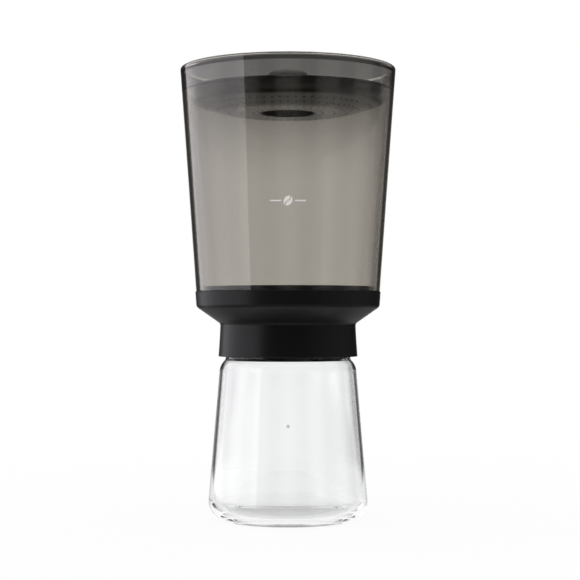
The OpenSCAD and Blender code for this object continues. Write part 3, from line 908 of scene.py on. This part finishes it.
@dataclass
class Collar:
    """Black collar: ring, cone and flared skirt, with the shelf and centring ribs inside."""

    carafe: Carafe
    skirt_drop: float = 13.15
    skirt_gap: float = 1.9
    skirt_flare: float = 1.1
    flare_power: float = 1.4
    skirt_h: float = 18.95
    wall: float = 2.2
    cone_angle: float = 35.0
    ring_out: float = 14.5
    ring_h: float = 8.9
    ring_corner: float = 3.0
    taper: float = 4.03
    ribs: int = 8
    rib_w: float = 1.6
    rib_round: float = 0.35
    rib_lead: float = 0.12
    rib_lead_slope: float = 0.8
    rib_from: float = 1.0
    rib_below_rim: float = 4.6
    tube_r: float = 19.2
    shelf_z: float = 111.3

    def __post_init__(self) -> None:
        """Works out the heights and radii that others use."""
        self.skirt_z = self.carafe.height - self.skirt_drop
        self.skirt_r = self.carafe.neck_r + self.skirt_gap + self.wall
        self.skirt_top_r = self.skirt_r - self.skirt_flare
        self.ring_r = self.skirt_top_r + self.ring_out
        self.cone_z = self.skirt_z + self.skirt_h
        self.ring_corner_r = self.ring_r - self.ring_h * math.tan(math.radians(self.taper))
        self.slope = math.tan(math.radians(self.cone_angle))
        self.ring_z = self.cone_z + (self.ring_corner_r - self.skirt_top_r) * self.slope
        self.ring_top_z = self.ring_z + self.ring_h
        self.ring_in_r = self.ring_r - self.wall
        self.shelf_top_z = self.shelf_z + self.wall
        self.hole_r = self.tube_r + SEAT_GAP

    def cone_z_at(self, r: float, off: float) -> float:
        """Height of the cone's line, moved inwards by off, at a radius."""
        return self.cone_z + (r - self.skirt_top_r) * self.slope + off * math.hypot(1, self.slope)

    def cone_r_at(self, z: float, off: float) -> float:
        """Radius of that line at a height."""
        return self.skirt_top_r + (z - self.cone_z - off * math.hypot(1, self.slope)) / self.slope

    def skirt(self, share: Array, off: float) -> list[list[float]]:
        """Points on the flared skirt: the flare grows with a power of the share of the way down."""
        r = self.skirt_top_r + self.skirt_flare * share ** self.flare_power - off
        return np.stack((r, self.cone_z - share * self.skirt_h), axis=1).tolist()

    def build(self) -> None:
        """Makes the collar with its ribs."""
        share = np.linspace(0, 1, 13)
        edge = self.skirt(share[-1:], self.wall) + self.skirt(share[-1:], 0)
        shape = turned(rounded([
            *self.skirt(share[:-1], self.wall),
            *((*p, 0.25) for p in edge),
            *self.skirt(share[::-1][1:-1], 0),
            (self.skirt_top_r, self.cone_z, 2),
            (self.ring_corner_r, self.ring_z, self.ring_corner),
            (self.ring_r, self.ring_top_z, 0.3),
            (self.ring_in_r, self.ring_top_z, 0.25),
            (self.ring_in_r, self.cone_z_at(self.ring_in_r, self.wall), 1),
            (self.cone_r_at(self.shelf_top_z, self.wall), self.shelf_top_z),
            (self.hole_r, self.shelf_top_z, 0.2),
            (self.hole_r, self.shelf_z, 0.2),
            (self.skirt_top_r - self.wall, self.shelf_z),
        ]), Smoothness.LARGE)
        shape = sum((self.rib(k * 2 * np.pi / self.ribs) for k in range(self.ribs)), shape)
        make_piece("base_collar_moulded", shape, Body.BREWER, COLLAR_BLACK, "base_collar")

    def rib(self, turn: float) -> Surface:
        """A centring rib: a plate whose inner edge is rounded by half an ellipse across its width."""
        inner = self.carafe.neck_r + LIFT_GAP + 2 * RUN_GAP
        outer = self.skirt_r - self.wall * 3 / 4
        low, high = self.skirt_z + self.rib_from, self.carafe.height - self.rib_below_rim
        side, up = np.meshgrid(np.linspace(-1, 1, 9), np.linspace(0, 1, 9), indexing="ij")
        lead = self.rib_lead_slope * np.clip(self.rib_lead - up, 0, 1)
        r = inner + self.rib_round * (1 - np.sqrt(1 - side ** 2)) + lead
        y, z = side * self.rib_w / 2, low + (high - low) * up

        def placed(radius: Array) -> Array:
            """The grid at a radius, turned to the rib's place."""
            return np.stack((radius * math.cos(turn) - y * math.sin(turn),
                             radius * math.sin(turn) + y * math.cos(turn), z), axis=-1)

        return slab(placed(np.full_like(r, outer)), placed(r))


@dataclass
class Container:
    """Smoke-tinted brewing container with its printed fill mark."""

    collar: Collar
    height: float = 129.4
    wall: float = 2.5
    ring_proud: float = 0.4
    dish_seat_depth: float = 13.9
    dish_ledge: float = 0.85
    lip_flare: float = 0.6
    bead: float = 0.5
    bead_h: float = 1.7
    lip_h: float = 3.8
    filter_step: float = 0.4
    mark_z: float = 181.2

    def __post_init__(self) -> None:
        """Works out the heights and radii that others use."""
        c = self.collar
        self.lean = math.tan(math.radians(c.taper))
        self.rim_z = c.ring_top_z + self.height
        self.floor_z = c.shelf_top_z + SEAT_GAP
        self.floor_top_z = self.floor_z + self.wall
        self.foot_out_r = c.ring_in_r - SEAT_GAP
        self.foot_in_r = self.foot_out_r - self.wall
        self.seat_z = self.rim_z - self.dish_seat_depth
        self.seat_r = self.inner_r(self.seat_z)
        self.mouth_r = self.seat_r + self.dish_ledge
        self.filter_z = c.ring_top_z - self.filter_step

    def outer_r(self, z: Array) -> Array:
        """Outside radius of the tapered wall at a height."""
        return self.collar.ring_r - self.ring_proud + (z - self.collar.ring_top_z) * self.lean

    def inner_r(self, z: Array) -> Array:
        """Inside radius of the tapered wall at a height."""
        return self.outer_r(z) - self.wall

    def build(self) -> None:
        """Makes the container and its mark."""
        c = self.collar
        off, top_off = c.wall + SEAT_GAP, c.wall + SEAT_GAP + self.wall
        step_z = c.ring_top_z + SEAT_GAP
        lip_out_r = self.outer_r(self.rim_z)
        lip_in_r = self.mouth_r + self.lip_flare * (lip_out_r - self.outer_r(self.seat_z))
        bead_in_r = lip_in_r - self.bead
        outline = rounded([
            (c.hole_r, self.floor_z),
            (c.cone_r_at(self.floor_z, off), self.floor_z),
            (self.foot_out_r, c.cone_z_at(self.foot_out_r, off), 1),
            (self.foot_out_r, step_z),
            (self.outer_r(step_z), step_z, 0.3),
            (lip_out_r, self.rim_z, 1.2),
            (bead_in_r, self.rim_z, 1.0),
            (bead_in_r, self.rim_z - self.bead_h, 0.6),
            (lip_in_r, self.rim_z - self.lip_h, 0.8),
            (self.mouth_r, self.seat_z, 0.15),
            (self.seat_r, self.seat_z, 0.2),
            (self.inner_r(self.filter_z), self.filter_z, 0.2),
            (self.foot_in_r, self.filter_z, 0.3),
            (self.foot_in_r, c.cone_z_at(self.foot_in_r, top_off), 2),
            (c.cone_r_at(self.floor_top_z, top_off), self.floor_top_z, 2),
            (c.hole_r, self.floor_top_z),
        ], 8)
        make_piece("brewing_container_moulded", turned(outline, Smoothness.LARGE), Body.BREWER,
                   SMOKE_PLASTIC, "brewing_container")
        make_piece("fill_mark", on_wall(FillMark().shape(), self.mark_z, self.outer_r), Body.BREWER,
                   FILL_INK)


@dataclass
class RainDish:
    """Perforated rain dish on the container's seat, with its hollow knob."""

    container: Container
    depth: float = 12.0
    floor_r: float = 36.0
    slope_deg: float = 15.0
    corner: float = 7.0
    thick: float = 1.8
    flange_t: float = 1.5
    hole_d: float = 1.4
    first_ring: float = 20.4
    rings: int = 5
    hole_edge: float = 10.7
    hole_pitch: float = 4.4
    plate_r: float = 51.2
    crease: float = 1.6
    crease_rings: tuple[float, ...] = (-2.2, -0.9, 2.0)
    last_ring: float = 1.2
    knob_r: float = 12.3
    knob_foot_r: float = 17.0
    knob_t: float = 1.6
    knob_below_rim: float = 0.5
    knob_flange: float = 2.4
    knob_flange_h: float = 1.3
    knob_neck_h: float = 1.8
    knob_neck_in: float = 0.2
    knob_waist_out: float = 0.5
    knob_waist: float = 12.0
    knob_dome: float = 6.0

    def __post_init__(self) -> None:
        """Works out the heights and radii of the bowl."""
        self.low_z = self.container.seat_z - self.depth
        self.slope = math.tan(math.radians(self.slope_deg))
        self.side_r = self.container.seat_r - LIFT_GAP * 1.5
        self.side_in_r = self.side_r - self.thick
        self.shift = self.thick * math.tan(math.radians(self.slope_deg / 2))
        self.ring_pitch = (self.side_r - self.hole_edge - self.first_ring) / (self.rings - 1)

    def rise(self, beyond: Array) -> Array:
        """Height gained beyond the floor's edge: half of x plus the root of x squared plus w squared.

        That is a hyperbola which joins the level floor and the slope smoothly.
        """
        return self.slope * (beyond + np.sqrt(beyond ** 2 + self.crease ** 2)) / 2

    def underside(self, r: Array) -> Array:
        """Height of the bowl's underside at a radius."""
        return self.low_z + self.rise(r - self.floor_r)

    def topside(self, r: Array) -> Array:
        """Height of the bowl's top at a radius."""
        return self.low_z + self.thick + self.rise(r - self.floor_r + self.shift)

    def holes(self) -> Array:
        """Centres of the drip holes, evenly along each ring, every other ring turned by half a pitch."""
        radii = self.first_ring + self.ring_pitch * np.arange(self.rings)
        counts = (2 * np.pi * radii / self.hole_pitch).astype(int)
        ring = np.repeat(np.arange(self.rings), counts)
        place = np.arange(counts.sum()) - np.repeat(np.cumsum(counts) - counts, counts)
        angle = 2 * np.pi * (place + 0.5 * (ring % 2)) / counts[ring]
        return np.stack((radii[ring] * np.cos(angle), radii[ring] * np.sin(angle)), axis=1)

    def build(self) -> None:
        """Makes the dish and the knob."""
        self.build_dish()
        self.build_knob()

    def build_dish(self) -> None:
        """Joins the perforated plate to the turned side and flange."""
        edge, seat_z, flange_r = self.plate_r, self.container.seat_z, self.container.mouth_r - LIFT_GAP
        low, high, top_z = self.underside(edge), self.topside(edge), seat_z + self.flange_t
        rim = turned(rounded([
            (edge, low),
            (self.side_r, low + (self.side_r - edge) * self.slope, self.corner),
            (self.side_r, seat_z, 0.2),
            (flange_r, seat_z, 0.2),
            (flange_r, top_z, 0.5),
            (self.side_in_r, top_z, 0.5),
            (self.side_in_r, high + (self.side_in_r - edge) * self.slope, self.corner - self.thick),
            (edge, high),
        ], 8), Smoothness.LARGE, closed=False)
        support = np.concatenate((
            self.first_ring + self.ring_pitch * (np.arange(self.rings - 1) + 0.5),
            self.floor_r + np.array(self.crease_rings), [edge - self.last_ring],
        ))
        plate = perforated(self.holes(), self.hole_d / 2, self.knob_foot_r + SEAT_GAP, edge,
                           Smoothness.LARGE.value, self.underside, self.topside, np.sort(support))
        make_piece("rainmaker_dish_drilled", (rim + plate).welded(), Body.RAINMAKER,
                   DISH_PLASTIC, "rainmaker_dish")

    def build_knob(self) -> None:
        """Turns the hollow knob: foot through the dish, flange on its floor, waist and domed top."""
        foot, t, flange_r = self.knob_foot_r, self.knob_t, self.knob_foot_r + self.knob_flange
        sill_z = self.low_z + self.thick + RUN_GAP
        neck_z, top_z = sill_z + self.knob_neck_h, self.container.rim_z - self.knob_below_rim
        waist_z, waist_r = (sill_z + top_z) / 2, self.knob_r + self.knob_waist_out
        outline = rounded([
            (foot, self.low_z, 0.3),
            (foot, sill_z),
            (flange_r, sill_z, 0.2),
            (flange_r, sill_z + self.knob_flange_h, 0.6),
            (foot - self.knob_neck_in, neck_z, 1),
            (waist_r, waist_z, self.knob_waist),
            (self.knob_r, top_z, self.knob_dome),
            (0, top_z),
            (0, top_z - t),
            (self.knob_r - t, top_z - t, self.knob_dome - t),
            (waist_r - t, waist_z, self.knob_waist),
            (foot - t, neck_z, 1),
            (foot - t, self.low_z, 0.3),
        ], 12)
        make_piece("rainmaker_knob_moulded", turned(outline, Smoothness.MEDIUM), Body.RAINMAKER,
                   KNOB_PLASTIC, "rainmaker_knob")


@dataclass
class Filter:
    """Mesh filter on the step in the container: frame, mesh, sealing channel and pull button."""

    container: Container
    flange_t: float = 1.2
    flange_out: float = 0.75
    lip: float = 1.3
    mesh_t: float = 0.4
    mesh_drop: float = 0.8
    mesh_inset: float = 1.1
    gasket_t: float = 0.7
    grip_r: float = 6.0
    grip_t: float = 0.7
    pin_r: float = 1.9
    pin_h: float = 1.2

    def build(self) -> None:
        """Makes the turned pieces and dresses the frame."""
        c = self.container
        seat_z, frame_r = c.filter_z, c.foot_in_r - LIFT_GAP - SEAT_GAP
        gasket_r = c.inner_r(seat_z) - LIFT_GAP
        flange_z, flange_r = seat_z + self.lip + RUN_GAP, gasket_r - self.flange_out
        under_z, over_z = flange_z - RUN_GAP, flange_z + self.flange_t + RUN_GAP
        lip_z = over_z + self.gasket_t
        channel = rounded([
            (frame_r + SEAT_GAP, seat_z, 0.2),
            (gasket_r, seat_z, 0.2),
            (gasket_r, lip_z, 0.5),
            (frame_r + LIFT_GAP, lip_z, 0.3),
            (frame_r + LIFT_GAP, over_z),
            (flange_r + RUN_GAP, over_z),
            (flange_r + RUN_GAP, under_z),
            (frame_r + SEAT_GAP, under_z),
        ])
        make_piece("filter_gasket_soft", turned(channel, Smoothness.LARGE), Body.FILTER,
                   BLACK_SILICONE, "filter_gasket")
        mesh_z, mesh_r, pin_r = flange_z - self.mesh_drop, frame_r - self.mesh_inset, self.pin_r + RUN_GAP
        mesh_top_z = mesh_z + self.mesh_t
        foot_z = mesh_top_z + RUN_GAP
        pocket_z = foot_z + self.pin_h + RUN_GAP
        button = rounded([
            (pin_r, foot_z), (self.grip_r, foot_z, 0.2), (self.grip_r, pocket_z + self.grip_t, 0.8),
            (0, pocket_z + self.grip_t), (0, pocket_z), (pin_r, pocket_z),
        ])
        make_piece("filter_grip_moulded", turned(button, Smoothness.SMALL), Body.FILTER,
                   INNER_PLASTIC, "filter_grip")
        disc = rounded([(pin_r, mesh_z), (mesh_r, mesh_z), (mesh_r, mesh_top_z), (pin_r, mesh_top_z)])
        make_piece("filter_mesh_woven", turned(disc, Smoothness.MEDIUM), Body.FILTER,
                   FILTER_STEEL, "filter_mesh")
        dress({"filter_frame": INNER_PLASTIC})


@dataclass
class DrainValve:
    """Sprung drain valve: body and nut in the brewer, and the stem that the carafe's rim lifts."""

    carafe: Carafe
    wire: float = 0.7
    turns: float = 5.0
    coil_r: float = 4.0
    coil_low: float = 105.8
    coil_high: float = 112.1
    pad_inset: float = 0.4
    pad_h: float = 1.65

    def build(self) -> None:
        """Winds the spring, moulds the soft pad and dresses the CAD nodes."""
        wound = coil(self.coil_r, self.wire, self.turns, self.coil_low + self.wire / 2,
                     self.coil_high - self.wire / 2)
        spring = make_piece("valve_spring_wound", wound, None, SPRING_STEEL,
                            "valve_spring", 40)
        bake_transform(spring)
        low, high = self.carafe.height, self.carafe.height + self.pad_h
        inner, outer = self.carafe.neck_in_r + self.pad_inset, self.carafe.neck_r - self.pad_inset
        pad = rounded([(inner, low, 0.3), (outer, low, 0.3), (outer, high), (inner, high)])
        make_piece("actuator_pad_soft", turned(pad, Smoothness.MEDIUM), Body.VALVE,
                   BLACK_SILICONE, "actuator_pad")
        dress({
            "valve_body": INNER_PLASTIC, "clamp_nut": INNER_PLASTIC, "valve_actuator": INNER_PLASTIC,
            "container_gasket": BLACK_SILICONE, "valve_stem": ACETAL, "valve_seal": GREY_SILICONE,
            "stem_clip": SPRING_STEEL,
        })


# Studio

Span = tuple[float, float, float, float]


@dataclass(frozen=True)
class SoftBox:
    """A large soft lamp, invisible to the camera, that faces a point."""

    name: str = "left_softbox"
    place: Point = (-1.2, 0.12, 0.1)
    aim: Point = (0.0, 0.12, 0.1)
    size: tuple[float, float] = (2.53, 1.8)
    radiance: float = 1.27
    colour: Colour = (1.0, 0.975, 1.04)

    def build(self) -> None:
        """Makes the lamp; its power is radiance times pi times its area."""
        lamp = bpy.data.lights.new(self.name, "AREA")
        lamp.shape, lamp.size, lamp.size_y = "RECTANGLE", *self.size
        lamp.color = self.colour
        lamp.energy = self.radiance * math.pi * self.size[0] * self.size[1]
        box = add_object(self.name, lamp)
        box.location = self.place
        box.rotation_euler = (Vector(self.aim) - Vector(self.place)).to_track_quat("-Z", "Y").to_euler()
        box.visible_camera = False


@dataclass(frozen=True)
class Room:
    """The white surround, which clear and glossy pieces see as white cards in a dimmer room.

    Each span is two places and the brightness at each.
    """

    cards: int = 8
    card_side: Span = (-0.65, 0.15, 0.12, 0.78)
    card_middle: Span = (0.3, 1.0, 0.0, 0.22)
    card_top: Span = (0.08, 0.165, 1.0, 0.17)
    ceiling: Span = (0.17, 0.3, 1.0, 0.4)
    mirrored_back: Span = (0.93, 0.985, 0.0, 1.0)
    right_way: tuple[float, float] = (0.985, -0.174)
    mirrored_right: Span = (0.6, 0.98, 0.0, 0.2)
    over_way: tuple[float, float] = (0.2, 0.98)
    mirrored_over: Span = (0.6, 0.9, 0.0, 1.8)
    mirrored_rest: float = 0.035
    matte: float = 0.85

    def card(self, tree: Shader, x: Value, y: Value, z: Value) -> Value:
        """Brightness of the soft white cards behind the object, by direction.

        They stand evenly round, one of them straight behind: the cosine of their number times the
        azimuth is 1 at the middle of a card and -1 between two. Above them the room is darker.

        Args:
            tree: The shader tree.
            x: The direction's part to the right.
            y: Its part to the back.
            z: Its part upwards.

        Returns:
            The brightness.
        """
        wave = tree.math("COSINE", tree.math("ARCTAN2", x, y) * self.cards)
        card = tree.between(wave, *self.card_side) + tree.between(wave, *self.card_middle)
        return card * tree.between(z, *self.card_top, "SMOOTHSTEP") * tree.between(z, *self.ceiling)

    def build(self) -> None:
        """White to the camera, cards through clear pieces, and a dim room to everything else."""
        world = bpy.data.worlds.new("studio_room")
        world.use_nodes = True
        bpy.context.scene.world = world
        tree = Shader(world.node_tree)
        x, y, z = tree.split(tree.node("TexCoord").outputs["Generated"])
        camera, through, gloss = tree.rays()
        card = self.card(tree, x, y, z)
        behind = tree.between(y, *self.mirrored_back)
        right = tree.between(x * self.right_way[0] + y * self.right_way[1], *self.mirrored_right)
        over = tree.between(y * self.over_way[0] + z * self.over_way[1], *self.mirrored_over)
        mirrored = card * behind + right + over + self.mirrored_rest
        level = tree.mix(gloss, self.matte, mirrored)
        level = tree.mix(camera, tree.mix(through, level, card), 1.0)
        room = tree.node("Background", {0: (1, 1, 1, 1), 1: level})
        tree.node("OutputWorld", {"Surface": room.outputs[0]})


@dataclass(frozen=True)
class Floor:
    """A pale floor that keeps the shadow near the object and fades into the white surround.

    Seen in or through the object it is a round table, past which the room shows. Each span is two
    distances from the axis in metres, and the amount at each.
    """

    half: float = 4.0
    pale: float = 0.85
    # shaded: grey of the paint seen in reflections past the shade span, a painted shade
    shaded: float = 0.38
    shade: Span = (0.055, 0.085, 0.0, 1.0)
    glow: Span = (0.12, 0.7, 0.95, 1.0)
    table_edge: Span = (0.3, 0.45, 0.0, 1.0)

    def build(self) -> None:
        """Makes the floor."""
        floor = add_object("studio_floor", bpy.data.meshes.new("studio_floor"))
        corners = [(x * self.half, y * self.half, 0) for x, y in ((-1, -1), (1, -1), (1, 1), (-1, 1))]
        floor.data.from_pydata(corners, [], [(0, 1, 2, 3)])
        floor.data.materials.append(new_material("pale_floor_finish", self.parts))

    def parts(self, tree: Shader) -> dict[str, bpy.types.Node]:
        """White light over matte paint, by distance and by where the ray comes from. A mirrored ray that
        meets the floor past the shade span sees grey paint and no white light: painted shade in
        reflections.
        """
        at = tree.node("VectorMath", {0: tree.place()}, operation="LENGTH")
        far = Value(tree, at.outputs["Value"])
        camera, through, gloss = tree.rays()
        mirrored = tree.math("MAXIMUM", through, gloss) * (1 - camera)
        # Painted shade in reflections: mirrored rays past the shade span see the floor darker
        painted_reflection_shade = gloss * (1 - through) * (1 - camera) * tree.between(far, *self.shade)
        glow = tree.between(far, *self.glow) * (1 - painted_reflection_shade) * tree.math("MAXIMUM", camera, mirrored)
        paint = tree.node("BsdfDiffuse", {0: tree.blend(painted_reflection_shade, (self.pale,) * 3, (self.shaded,) * 3)})
        near = tree.layered(glow, paint, tree.node("Emission", {0: (1, 1, 1, 1), 1: 1.0}))
        edge = tree.between(far, *self.table_edge) * mirrored
        return {"Surface": tree.layered(edge, near, tree.node("BsdfTransparent"))}


@dataclass(frozen=True)
class Camera:
    """A level camera at the photograph's distance, height and angle."""

    focal_px: float = 1547.0
    frame_px: float = 580.0
    sensor_mm: float = 36.0
    place: Point = (0.0, -0.9, 0.1188)
    shift_px: tuple[float, float] = (2.0, 25.0)

    def build(self) -> None:
        """Makes the camera and looks through it."""
        data = bpy.data.cameras.new("photo_camera")
        data.sensor_width = self.sensor_mm
        data.lens = self.focal_px * self.sensor_mm / self.frame_px
        data.shift_x, data.shift_y = (s / self.frame_px for s in self.shift_px)
        camera = add_object("photo_camera", data)
        camera.location = self.place
        camera.rotation_euler = (math.pi / 2, 0, 0)
        bpy.context.scene.camera = camera


def main() -> None:
    """Builds the coffee maker and its studio, piece by piece."""
    logging.basicConfig(level=logging.INFO, format="%(name)s: %(message)s")
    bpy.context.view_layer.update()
    carafe = Carafe()
    collar = Collar(carafe)
    container = Container(collar)
    for part in (carafe, collar, container, RainDish(container), Filter(container), DrainValve(carafe),
                 Room(), Floor(), SoftBox(), Camera()):
        LOG.info("building %s", type(part).__name__)
        part.build()
    bpy.context.scene.view_settings.view_transform = "Standard"
    cycles = bpy.context.scene.cycles
    cycles.max_bounces = cycles.transmission_bounces = cycles.glossy_bounces = GLASS_BOUNCES


if __name__ == "__main__":
    main()
